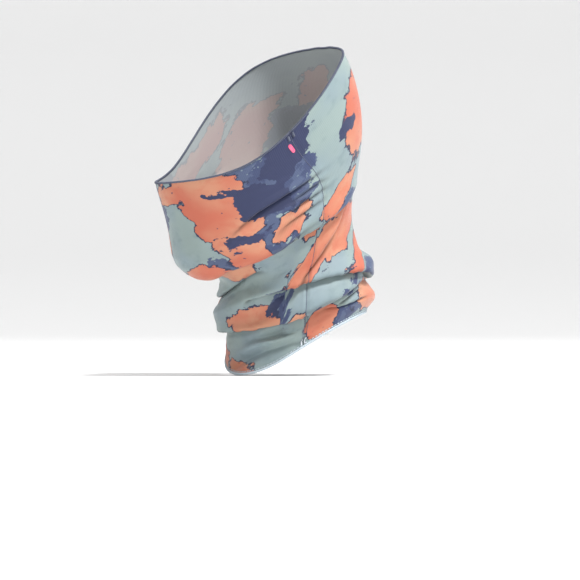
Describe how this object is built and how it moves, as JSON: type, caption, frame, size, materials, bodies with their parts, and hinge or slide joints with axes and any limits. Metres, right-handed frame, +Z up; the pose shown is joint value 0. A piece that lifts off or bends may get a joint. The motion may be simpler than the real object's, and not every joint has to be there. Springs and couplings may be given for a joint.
{
  "type": "neck gaiter",
  "caption": "Stretch-knit tube worn over the nose, cheeks, ears and back of the head, gathered in soft folds on the neck.",
  "frame": {"origin": "middle of the bottom opening, where the tube goes round the wearer's neck", "axes": "+Z up along the wearer's neck, -Y the way the wearer faces, +X the wearer's left, where the side seam is"},
  "size_m": [0.1534, 0.2267, 0.306],
  "materials": {
    "printed_knit": "matte",
    "seam_thread": "satin",
    "edge_thread": "satin",
    "hem_thread": "satin",
    "bartack_thread": "satin",
    "transfer_film": "satin",
    "label_satin": "satin",
    "label_thread": "matte"
  },
  "bodies": {
    "tube": {"knit_tube": "printed_knit", "side_seam_overlock": "seam_thread", "top_edge_overlock": "edge_thread", "bottom_edge_overlock": "hem_thread", "top_bartack": "edge_thread", "bottom_bartack": "bartack_thread", "transfer_mark": "transfer_film"},
    "label": {"care_label": "label_satin", "label_stitching": "label_thread"}
  },
  "joints": [
    {"name": "label_flip", "type": "hinge", "parent": "tube", "child": "label", "pos_m": [0.0546, -0.031, 0.023], "axis": [0, 0, 1], "range_deg": [0, 75]}
  ]
}
